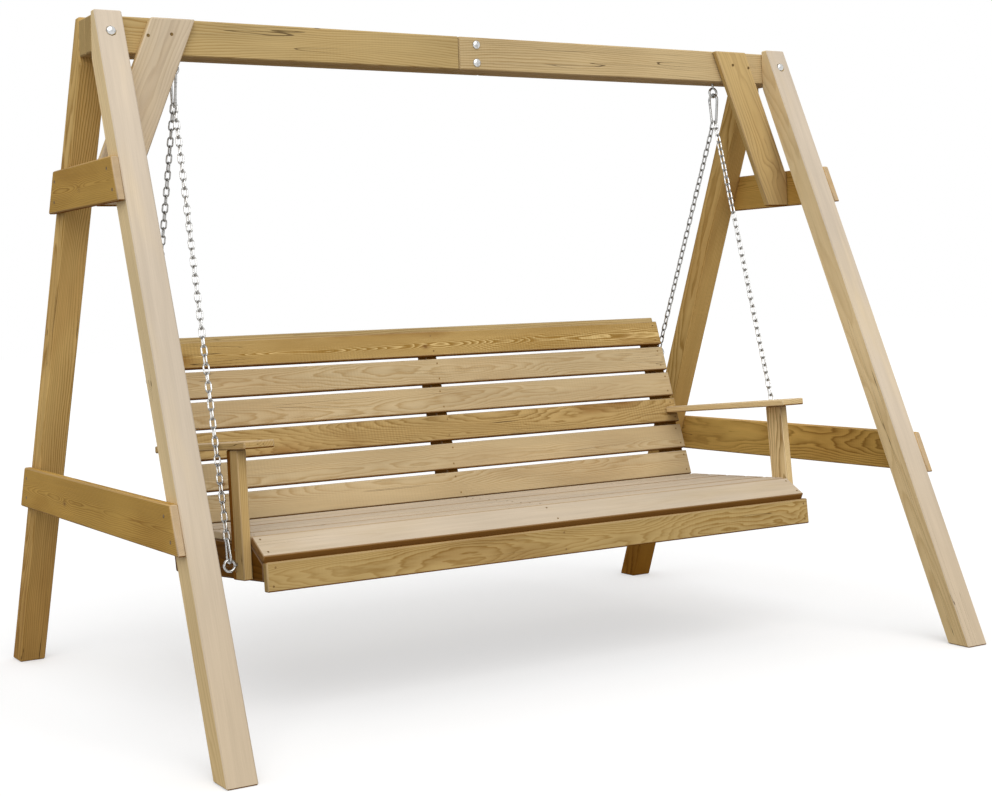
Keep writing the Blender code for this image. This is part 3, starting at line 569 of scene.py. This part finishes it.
def screw_head(radius):
    """One flat head with a recess, its face at Z = 0."""
    shape = bmesh.new()
    bmesh.ops.create_cone(
        shape, cap_ends=True, segments=12, radius1=radius * screw_taper_share, radius2=radius,
        depth=screw_depth, matrix=Matrix.Translation((0, 0, -screw_depth / 2)),
    )
    face = max(shape.faces, key=lambda found: found.calc_center_median().z)
    bmesh.ops.inset_region(shape, faces=[face], thickness=radius * star_share)
    for number, vertex in enumerate(face.verts):
        if number % 2:
            vertex.co = vertex.co * star_notch_share
        vertex.co.z -= star_depth
    mesh = bpy.data.meshes.new("screw_head")
    shape.to_mesh(mesh)
    shape.free()
    return mesh


def add_screws(name, body, places, radius, bright):
    """Screw heads at (place, outward) pairs, each turned its own way, as one piece."""
    flush_head = screw_head(radius)
    shape = bmesh.new()
    for place, outward in places:
        first = len(shape.verts)
        shape.from_mesh(flush_head)
        shape.verts.ensure_lookup_table()
        lie = Vector(outward).to_track_quat("Z", "Y").to_matrix().to_4x4()
        spun = Matrix.Rotation(tone.uniform(0, math.tau), 4, "Z")
        lifted = Matrix.Translation(Vector(place) + Vector(outward).normalized() * screw_rise)
        bmesh.ops.transform(shape, matrix=lifted @ lie @ spun, verts=shape.verts[first:])
    return add_steel(name, body, shape, sharp=30, shine=screw_shine, bright=bright, hue=screw_shade_hue)


def board_face(name, shown):
    """A board's face on the shown side: its middle, its direction across the grain, and outward."""
    mesh = nodes[name].data
    middle, turn = grain_frame(mesh)
    through = turn.col[1].normalized()
    outward = through if through.dot(Vector(shown)) > 0 else -through
    reach = max((vertex.co - middle).dot(outward) for vertex in mesh.vertices)
    return middle + outward * reach, turn.col[0].normalized(), outward


places = []
leg_line = {}
for row in ("front", "rear"):
    leg_line[row] = grain_frame(nodes[row + "_left_leg"].data)
for level in ("lower", "upper"):
    for end, side in (("left", -1), ("right", 1)):
        middle, across, outward = board_face(level + "_" + end + "_tie", (side, 0, 0))
        for row in ("front", "rear"):
            foot, turn = leg_line[row]
            along = turn.col[2]
            for way in (-1, 1):
                z = middle.z + way * tie_screw_rise
                y = foot.y + along.y / along.z * (z - foot.z) + way * tie_screw_shift
                places.append(((middle.x, y, z), outward))
for end, side in (("left", -1), ("right", 1)):
    low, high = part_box(end + "_brace")
    inner = min(abs(low.x), abs(high.x))
    for out, down in brace_screw_spots:
        places.append(((side * (inner + out), low.y, high.z - down), front))
add_screws("frame_screws", "frame", places, screw_radius, frame_screw_shade_bright)


# Beam eyes
# Screw eyes of thick zinc-plated wire, bent round until the end nearly meets the shank, driven up
# into the joint between the planks.
eye_wire, eye_radius, eye_gap, eye_steps, eye_neck_share = 0.007, 0.0132, 14.0, 30, 0.9


def bent_wire(shape, points, wire):
    """Add round wire bent along a line of points to a bmesh."""
    curve = bpy.data.curves.new("wire", "CURVE")
    curve.dimensions = "3D"
    curve.bevel_depth = wire / 2
    curve.bevel_resolution = 3
    curve.use_fill_caps = True
    spline = curve.splines.new("POLY")
    spline.points.add(len(points) - 1)
    for knot, point in zip(spline.points, points):
        knot.co = (*point, 1.0)
    rod = bpy.data.objects.new("wire", curve)
    mesh = bpy.data.meshes.new_from_object(rod)
    shape.from_mesh(mesh)
    bpy.data.objects.remove(rod)
    bpy.data.curves.remove(curve)
    bpy.data.meshes.remove(mesh)


def eye_line(centre, toward, across, shank_end):
    """An eye's line: from the shank's end to the ring, and round it to a narrow gap."""
    line = [shank_end, centre + toward * (eye_radius + eye_wire * eye_neck_share)]
    sweep = math.tau - math.radians(eye_gap)
    for step in range(eye_steps + 1):
        turn = sweep * step / eye_steps
        line.append(centre + (toward * math.cos(turn) + across * math.sin(turn)) * eye_radius)
    return line


for end, side in (("left", -1), ("right", 1)):
    name = end + "_beam_eye"
    low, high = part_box(name)
    centre = Vector(((low.x + high.x) / 2, 0.0, low.z + eye_wire / 2 + eye_radius))
    shape = bmesh.new()
    line = eye_line(centre, Vector((0, 0, 1)), Vector((side, 0, 0)), Vector((centre.x, 0.0, high.z)))
    bent_wire(shape, line, eye_wire)
    eye = add_steel(name + "_dressed", "frame", shape)
    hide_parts(name)


# Carabiners
# Pear-shaped spring hooks bent from 8 mm wire, wide end up in the beam's eyes. A straight gate
# turns inwards on a rivet at the narrow end and closes on a cross pin in the nose.
carabiner = {"length": 0.088, "wire": 0.008, "narrow": 0.011, "wide": 0.018, "gate": 0.048}
gate_stub, gate_gap, gate_wire_share = 0.002, 0.0009, 0.88
gate_clearance = 0.0003
pear_steps = 16
rivet_place_share, nose_pin_place_share, pin_half_share, pin_wire_share = 0.45, 0.3, 0.56, 0.4


def pear(sizes):
    """A hook's flat outline as (across, along), from the gate's foot round to its nose, and its run."""
    length, narrow, wide = sizes["length"], sizes["narrow"], sizes["wide"]
    lean = math.asin((wide - narrow) / (length - narrow - wide))
    low = Vector((narrow * math.cos(lean), narrow - narrow * math.sin(lean)))
    high = Vector((wide * math.cos(lean), length - wide - wide * math.sin(lean)))
    run = (high - low).normalized()
    line = [low + run * gate_stub]
    for step in range(pear_steps + 1):
        angle = -lean - step * (math.pi - 2 * lean) / pear_steps
        line.append(Vector((narrow * math.cos(angle), narrow + narrow * math.sin(angle))))
    for step in range(pear_steps + 1):
        angle = math.pi + lean - step * (math.pi + 2 * lean) / pear_steps
        line.append(Vector((wide * math.cos(angle), length - wide + wide * math.sin(angle))))
    line.append(line[0] + run * (sizes["gate"] + gate_gap))
    return line, run


def add_hook(name, foot, along, across, sizes):
    """A hook's body, on the swing, and its gate with the rivet and the cross pin, on its own body."""
    line, run = pear(sizes)
    wire = sizes["wire"]
    gate_wire = wire * gate_wire_share
    half_pin = across.cross(along).normalized() * gate_wire * pin_half_share

    def place(point):
        return foot + across * point.x + along * point.y

    shape = bmesh.new()
    bent_wire(shape, [place(point) for point in line], wire)
    body = add_steel(name + "_dressed", "swing", shape)
    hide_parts(name)
    start, end = place(line[0] + run * gate_clearance), place(line[-1] - run * gate_clearance)
    along_gate = (end - start).normalized()
    shape = bmesh.new()
    bent_wire(shape, [start, start + along_gate * wire, end - along_gate * wire, end], gate_wire)
    rivet = start + along_gate * gate_wire * rivet_place_share
    nose_pin = end - along_gate * gate_wire * nose_pin_place_share
    for spot in (rivet, nose_pin):
        bent_wire(shape, [spot - half_pin, spot + half_pin], gate_wire * pin_wire_share)
    gate = add_steel(name + "_gate_dressed", name + "_gate", shape)
    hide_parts(name + "_gate")


for end, side in (("left", -1), ("right", 1)):
    low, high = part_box(end + "_carabiner")
    foot = Vector(((low.x + high.x) / 2, 0.0, low.z + carabiner["wire"] / 2))
    add_hook(end + "_carabiner", foot, Vector((0, 0, 1)), Vector((0, side, 0)), carabiner)


# Chains
# Welded chain of zinc-plated round wire, each oval link turned square to the last: long runs to the
# front of the seat and shorter ones to the back.
link_wire, link_width, link_sides, link_bend_steps = 0.0045, 0.0176, 7, 5
link_counts = {"front": 49, "rear": 34}
link_twist, joint_reach_share = 7.0, 0.6
chain_shine, chain_bright = 0.2, {"front": 0.74, "rear": 0.46}


def oval_link(inner):
    """One link: two straight sides and two half turns of round wire, its length along Z."""
    bend = (link_width - link_wire) / 2
    half = (inner + link_wire) / 2 - bend
    shape = bmesh.new()
    ring = bmesh.ops.create_circle(
        shape, segments=link_sides, radius=link_wire / 2, matrix=Matrix.Translation((bend, 0.0, -half)),
    )
    edges = list({edge for vertex in ring["verts"] for edge in vertex.link_edges})
    for lift in (half, -half):
        pushed = bmesh.ops.extrude_edge_only(shape, edges=edges)["geom"]
        verts = [item for item in pushed if isinstance(item, bmesh.types.BMVert)]
        edges = [item for item in pushed if isinstance(item, bmesh.types.BMEdge)]
        edges = [edge for edge in edges if all(vertex in verts for vertex in edge.verts)]
        bmesh.ops.translate(shape, verts=verts, vec=(0.0, 0.0, 2 * lift))
        spun = bmesh.ops.spin(
            shape, geom=verts + edges, cent=(0.0, 0.0, lift), axis=(0.0, -1.0, 0.0), dvec=(0.0, 0.0, 0.0),
            angle=math.pi, steps=link_bend_steps, use_merge=False, use_duplicate=False,
        )["geom_last"]
        edges = [item for item in spun if isinstance(item, bmesh.types.BMEdge)]
    bmesh.ops.remove_doubles(shape, verts=shape.verts, dist=weld)
    mesh = bpy.data.meshes.new("oval_link")
    shape.to_mesh(mesh)
    shape.free()
    return mesh


def chain_line(name):
    """A chain's upper and lower outer ends, from its CAD node, and its direction downwards."""
    mesh = nodes[name].data
    middle, turn = grain_frame(mesh)
    along = turn.col[2] if turn.col[2].z < 0 else -turn.col[2]
    reach = max((vertex.co - middle).dot(along) for vertex in mesh.vertices)
    return middle - along * reach, middle + along * reach, along.normalized()


for row in ("front", "rear"):
    for end in ("left", "right"):
        name = row + "_" + end + "_chain"
        count = link_counts[row]
        top, foot, along = chain_line(name)
        inner = ((foot - top).length - 2 * link_wire) / count
        joint_start = inner / 2 - link_wire * joint_reach_share
        link = oval_link(inner)
        sideways = (Vector((1, 0, 0)) - along * along.x).normalized()
        upright = along.cross(sideways)
        shape = bmesh.new()
        joint = shape.faces.layers.float.new("joint")
        for number in range(count):
            first, first_face = len(shape.verts), len(shape.faces)
            shape.from_mesh(link)
            shape.verts.ensure_lookup_table()
            shape.faces.ensure_lookup_table()
            for face in shape.faces[first_face:]:
                face[joint] = 1.0 if abs(face.calc_center_median().z) > joint_start else 0.0
            middle = Matrix.Translation(top + along * (link_wire + inner * (number + 0.5)))
            across = upright if number % 2 else sideways
            turn = Matrix((across, along.cross(across), along)).transposed().to_4x4()
            twist = Matrix.Rotation(math.radians(tone.uniform(-link_twist, link_twist)), 4, "Z")
            bmesh.ops.transform(shape, matrix=middle @ turn @ twist, verts=shape.verts[first:])
        chain = add_steel(
            name + "_dressed", "swing", shape, slot="chain", sharp=60, shine=chain_shine,
            bright=chain_bright[row],
        )
        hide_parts(name)


# Snap hooks
# Smaller hooks of the same kind, narrow end up on the front chains, wide end in the seat's eyes.
# Their last link has a little play on the wire.
snap_hook = {"length": 0.056, "wire": 0.006, "narrow": 0.0068, "wide": 0.0115, "gate": 0.029}
link_play = 0.0004
for end, side in (("left", -1), ("right", 1)):
    top, foot, along = chain_line("front_" + end + "_chain")
    head = foot - along * (snap_hook["wire"] / 2 + link_play + link_wire)
    add_hook(end + "_snap_hook", head, along, along.cross(Vector((side, 0, 0))), snap_hook)


# Seat
# Three rails carry five flat slats, a sloped front slat and an apron, all planed pine with rounded
# arrises, screwed down from above.
# The rails are near-black brown: partly the wood's own darker tone, partly painted shade, for they sit in
# shade under the seat.
rail_early, rail_late = (0.15, 0.062, 0.008), (0.085, 0.032, 0.003)
seat_early, seat_late = (0.60, 0.485, 0.32), (0.42, 0.30, 0.155)
front_early, front_late = (0.50, 0.39, 0.235), (0.37, 0.25, 0.115)
apron_early, apron_late = (0.44, 0.305, 0.125), (0.27, 0.155, 0.042)
seat_grain = {"figure": 0.5, "ring": 0.005, "knots": 0.05}
apron_grain = {"figure": 0.95, "ring": 0.0019, "knots": 0.10, "curl": 0.004, "chatter": 0.02, "patches": 0.3}
seat_paleness = 0.7
slat_rounding, seat_rounding, front_rounding = 0.0024, 0.0017, 0.0050
# Painted shade on the slats: their undersides, their front and back edges, and darker lines in the gaps
# between slats.
slat_painted_shade = (underside_shade, ((0, -1, 0), 0.45), ((0, 1, 0), 0.45))
slat_seam_shades = {1: 0.05, 2: 0.5, 3: 0.05, 4: 0.6, 5: 0.1}
# Painted shade on the front slat's underside, lower nose, back edge and ends.
front_painted_shade = (
    ((0, 0.2, -1), 1.0), ((0, -1, -0.5), 0.95), ((0, 1, 0.5), 1.0), ((-1, 0, 0), 0.8), ((1, 0, 0), 0.8),
)
# Painted shade on the apron's top under the front slat's nose, its back and its underside.
apron_painted_shade = (underside_shade, ((0, 0.6, 1), 1.0), ((0, 1, 0), 0.8))
for end in ("left", "middle", "right"):
    planed_board(end + "_seat_rail", "swing", rail_early, rail_late)
for number, seam_shade in slat_seam_shades.items():
    planed_board(
        "seat_slat_" + str(number), "swing", seat_early, seat_late, rounding=seat_rounding,
        painted_shade=slat_painted_shade, seam_shade=seam_shade, pale=(seat_paleness, (0, 0, 1)), **seat_grain,
    )
planed_board(
    "front_seat_slat", "swing", front_early, front_late, rounding=front_rounding,
    painted_shade=front_painted_shade, pale=(seat_paleness, (0, -0.5, 1)), **seat_grain,
)
planed_board(
    "apron", "swing", apron_early, apron_late, rounding=slat_rounding, painted_shade=apron_painted_shade, **apron_grain,
)


# Back
# Three tapered uprights behind six slats, and a cap board screwed down on their heads. The top and
# the fourth slat are of darker, more figured wood.
slat_early, slat_late = (0.495, 0.38, 0.22), (0.34, 0.22, 0.09)
slat_grain = {"figure": 0.75, "ring": 0.0022, "knots": 0.06, "curl": 0.007, "chatter": 0.025, "patches": 0.14}
dark_early = {1: (0.265, 0.145, 0.03), 4: (0.44, 0.30, 0.125)}
dark_late = {1: (0.60, 0.43, 0.185), 4: (0.21, 0.115, 0.028)}
dark_grain = {
    1: {"figure": 1.3, "ring": 0.0019, "curl": 0.007, "chatter": 0.07, "patches": 0.6},
    4: {"figure": 0.85, "ring": 0.0019, "curl": 0.003, "chatter": 0.07, "patches": 0.75},
}
cap_early, cap_late = (0.46, 0.34, 0.16), (0.30, 0.19, 0.07)
for end in ("left", "middle", "right"):
    planed_board(end + "_upright", "swing", rail_early, rail_late)
for number in range(1, 7):
    planed_board(
        "back_slat_" + str(number), "swing", dark_early.get(number, slat_early),
        dark_late.get(number, slat_late), rounding=slat_rounding, **dark_grain.get(number, slat_grain),
    )
planed_board("back_cap", "swing", cap_early, cap_late)


# Arms
# Upright posts outside the seat rails, and the armrests that they carry. The left post has a brown
# strip down the back of its outer face, which takes the full browner tone of the painted shade.
arm_early = {"left": (0.52, 0.36, 0.155), "right": (0.82, 0.63, 0.34)}
arm_late = (0.32, 0.185, 0.055)
post_grain = {"figure": 1.1, "ring": 0.0042, "knots": 0.3, "curl": 0.012}
armrest_grain = {"figure": 0.8, "ring": 0.005, "pale": (0.45, (0, 0, 1))}
strip_share = 0.36
for end in ("left", "right"):
    post = nodes[end + "_arm_post"].data
    middle, turn = grain_frame(post)
    ways = (turn.col[0], turn.col[1], -turn.col[0], -turn.col[1])
    backward = max(ways, key=lambda way: way.y).normalized()
    depth = max((vertex.co - middle).dot(backward) for vertex in post.vertices)
    strip = (middle + backward * depth * strip_share, backward) if end == "left" else None
    planed_board(
        end + "_arm_post", "swing", arm_early[end], arm_late, rounding=slat_rounding, darkened_beyond=strip,
        **post_grain,
    )
    planed_board(
        end + "_armrest", "swing", arm_early[end], arm_late, rounding=slat_rounding, **armrest_grain,
    )


# Seat eyes
# Eye bolts with hexagon nuts: two through the arm posts and rails, two through the uprights. They
# lean with the seat.
seat_tilt = math.radians(4.5)
eye_nut_radius, eye_nut_height, eye_nut_edge, eye_nut_clearance = 0.0075, 0.006, 0.0007, 0.0003
eye_up = Vector((0.0, math.sin(seat_tilt), math.cos(seat_tilt)))
for row in ("front", "rear"):
    for end, side in (("left", -1), ("right", 1)):
        name = row + "_" + end + "_bench_eye"
        low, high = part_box(name)
        outer = max(abs(low.x), abs(high.x)) - eye_wire / 2 - eye_radius
        inner = side * min(abs(low.x), abs(high.x))
        centre = Vector((side * outer, (low.y + high.y) / 2, (low.z + high.z) / 2))
        shank_end = Vector((inner, centre.y, centre.z))
        inward = Vector((-side, 0, 0))
        shape = bmesh.new()
        bent_wire(shape, eye_line(centre, inward, eye_up, shank_end), eye_wire)
        face = shank_end - inward * (eye_nut_height + eye_nut_clearance)
        add_nut(shape, face, inward, eye_nut_radius, eye_nut_height, eye_nut_edge)
        eye = add_steel(name + "_dressed", "swing", shape)
        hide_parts(name)


# Bench screws
# Slimmer screws of the same kind, two wherever a slat crosses a rail or an upright, and through the
# posts' feet and the armrests.
slim_screw_radius, bench_screw_bright = 0.0027, 0.26
screw_spread_share, screw_wander = 0.6, 0.005
post_screw_rises, post_screw_shift = (0.022, 0.072), 0.010
armrest_screw_inset, armrest_screw_half = 0.028, 0.014
places = []
rails = [sum(corner.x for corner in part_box(end + "_seat_rail")) / 2 for end in ("left", "middle", "right")]
boards = [("back_slat_" + str(number), (0, -1, 0.2)) for number in range(1, 7)]
boards += [("seat_slat_" + str(number), (0, 0, 1)) for number in slat_seam_shades]
boards += [("front_seat_slat", (0, -0.5, 1)), ("apron", front), ("back_cap", (0, 0, 1))]
for name, shown in boards:
    middle, across, outward = board_face(name, shown)
    reach = max(abs((vertex.co - middle).dot(across)) for vertex in nodes[name].data.vertices)
    for x in rails:
        for way in (-1, 1):
            wander = Vector((x + tone.uniform(-screw_wander, screw_wander), 0.0, 0.0))
            places.append((middle + across * way * screw_spread_share * reach + wander, outward))
for end, side in (("left", -1), ("right", 1)):
    middle, across, outward = board_face(end + "_arm_post", (side, 0, 0))
    low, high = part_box(end + "_arm_post")
    for rise in post_screw_rises:
        lean = math.tan(seat_tilt) * (low.z + rise - middle.z)
        places.append(((middle.x, middle.y + lean + post_screw_shift, low.z + rise), outward))
    middle, across, outward = board_face(end + "_armrest", (0, 0, 1))
    for way in (-1, 1):
        y = high.y - armrest_screw_inset + way * armrest_screw_half
        z = middle.z - outward.y * (y - middle.y) / outward.z
        places.append((((low.x + high.x) / 2, y, z), outward))
add_screws("bench_screws", "swing", places, slim_screw_radius, bench_screw_bright)


# Floor and light
# A white floor that keeps the shadow and throws little light back up, a soft sun from the front
# and a little left, and an even white room.
floor_white, floor_bounce, floor_glow, floor_rough = 0.62, 0.30, 0.38, 0.9
floor_reach, floor_drop = 30.0, 0.0005
room_strength = 0.78
sun_strength, sun_spread = 1.8, 60.0
sun_from = (-0.20, -0.78, 0.62)
white = (1.0, 1.0, 1.0, 1.0)

shape = bmesh.new()
bmesh.ops.create_grid(shape, x_segments=1, y_segments=1, size=floor_reach)
mesh = bpy.data.meshes.new("floor")
shape.to_mesh(mesh)
shape.free()
floor = bpy.data.objects.new("floor", mesh)
bpy.context.scene.collection.objects.link(floor)
floor.location.z = -floor_drop
material = bpy.data.materials.new("white_floor")
material.use_nodes = True
tree = material.node_tree
shader = tree.nodes["Principled BSDF"]
shader.inputs["Roughness"].default_value = floor_rough
shader.inputs["Specular IOR Level"].default_value = 0.0
path = shade(tree, "LightPath", {})
seen = maths(tree, "MAXIMUM", path.outputs["Is Camera Ray"], path.outputs["Is Glossy Ray"])
bounce = (floor_bounce, floor_bounce, floor_bounce, 1.0)
shown = (floor_white, floor_white, floor_white, 1.0)
tree.links.new(blend(tree, seen, bounce, shown), shader.inputs["Base Color"])
shader.inputs["Emission Color"].default_value = white
tree.links.new(maths(tree, "MULTIPLY", seen, floor_glow), shader.inputs["Emission Strength"])
mesh.materials.append(material)

world = bpy.data.worlds.new("white_room")
bpy.context.scene.world = world
world.use_nodes = True
tree = world.node_tree
room = tree.nodes["Background"]
path = shade(tree, "LightPath", {})
seen = maths(tree, "MAXIMUM", path.outputs["Is Camera Ray"], path.outputs["Is Glossy Ray"])
unseen = maths(tree, "MULTIPLY", maths(tree, "SUBTRACT", 1.0, seen), room_strength)
tree.links.new(maths(tree, "ADD", seen, unseen), room.inputs["Strength"])
room.inputs["Color"].default_value = white

light = bpy.data.lights.new("sun", "SUN")
light.energy = sun_strength
light.angle = math.radians(sun_spread)
sun = bpy.data.objects.new("sun", light)
bpy.context.scene.collection.objects.link(sun)
sun.rotation_euler = (-Vector(sun_from)).to_track_quat("-Z", "Y").to_euler()
bpy.context.scene.view_settings.view_transform = "Standard"


# Camera
# Where the photograph was taken from, low in front of the left end of the swing. Angles are in
# degrees, and the lens and its sensor in millimetres.
camera_place = (-2.3295, -3.9736, 0.9698)
camera_yaw, camera_pitch, camera_roll = 31.136, 1.774, 1.890
camera_lens, camera_sensor, camera_drop_share = 60.685, 36.0, -0.1551

lens = bpy.data.cameras.new("camera")
lens.sensor_width = camera_sensor
lens.lens = camera_lens
lens.shift_y = camera_drop_share
camera = bpy.data.objects.new("camera", lens)
bpy.context.scene.collection.objects.link(camera)
yaw = Matrix.Rotation(math.radians(-camera_yaw), 4, "Z")
pitch = Matrix.Rotation(math.radians(90 + camera_pitch), 4, "X")
roll = Matrix.Rotation(math.radians(-camera_roll), 4, "Z")
camera.matrix_world = Matrix.Translation(camera_place) @ yaw @ pitch @ roll
bpy.context.scene.camera = camera
